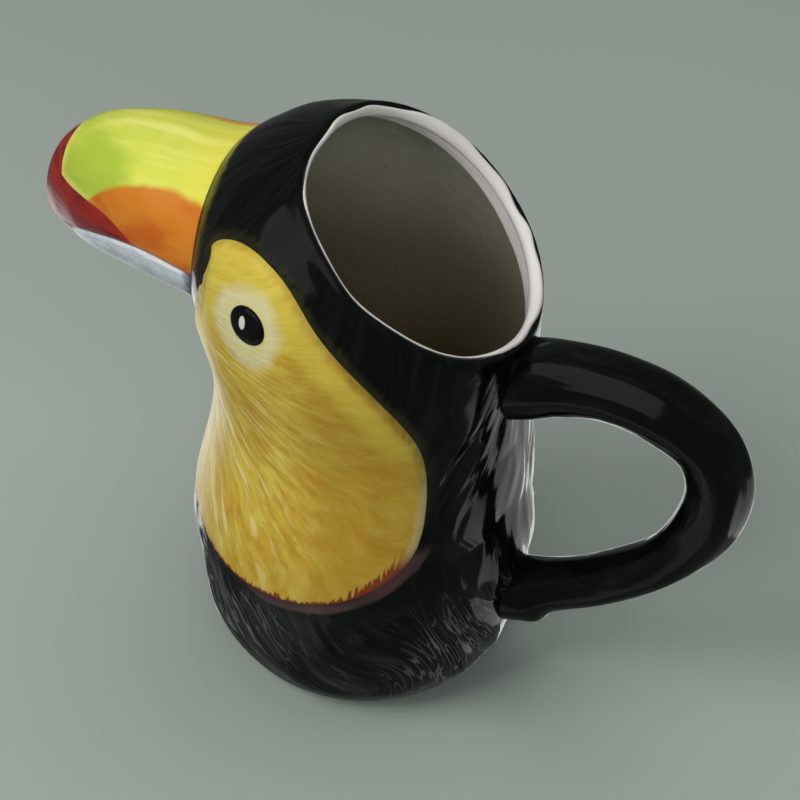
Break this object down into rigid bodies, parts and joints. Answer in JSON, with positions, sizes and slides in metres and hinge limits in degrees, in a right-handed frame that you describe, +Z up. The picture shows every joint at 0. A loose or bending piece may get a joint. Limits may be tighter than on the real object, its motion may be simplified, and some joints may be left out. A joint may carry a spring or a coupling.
{
  "type": "toucan jug",
  "caption": "Hand-painted glazed ceramic jug shaped as a sitting toucan, with a long beak, a yellow breast, a slanted mouth in the back of its head and a loop handle.",
  "frame": {"origin": "centre of the foot ring on the plane that the jug stands on", "axes": "+Z up, the beak points along -X and the handle stands on the +X side, the left eye is on the -Y side"},
  "size_m": [0.2035, 0.0964, 0.1662],
  "materials": {
    "black_glaze": "glossy black glaze over modelled feathers",
    "bare_clay": "unglazed fired clay, wiped clean",
    "white_glaze": "glossy white glaze",
    "olive_glaze": "satin dark olive glaze",
    "beak_glaze": "glossy, painted yellow-green with an orange side and a red tip",
    "pale_blue_glaze": "glossy, brushed pale blue and white",
    "yellow_glaze": "glossy, brushed yellow with cream and orange strokes",
    "eye_glaze": "glossy black glaze"
  },
  "bodies": {
    "root": {"body": "black_glaze", "handle": "black_glaze", "foot_ring": "bare_clay", "lip_glaze": "white_glaze", "interior_glaze": "olive_glaze", "upper_beak": "beak_glaze", "lower_beak": "pale_blue_glaze", "breast_bib": "yellow_glaze", "left_eye": "eye_glaze", "right_eye": "eye_glaze"}
  },
  "joints": []
}
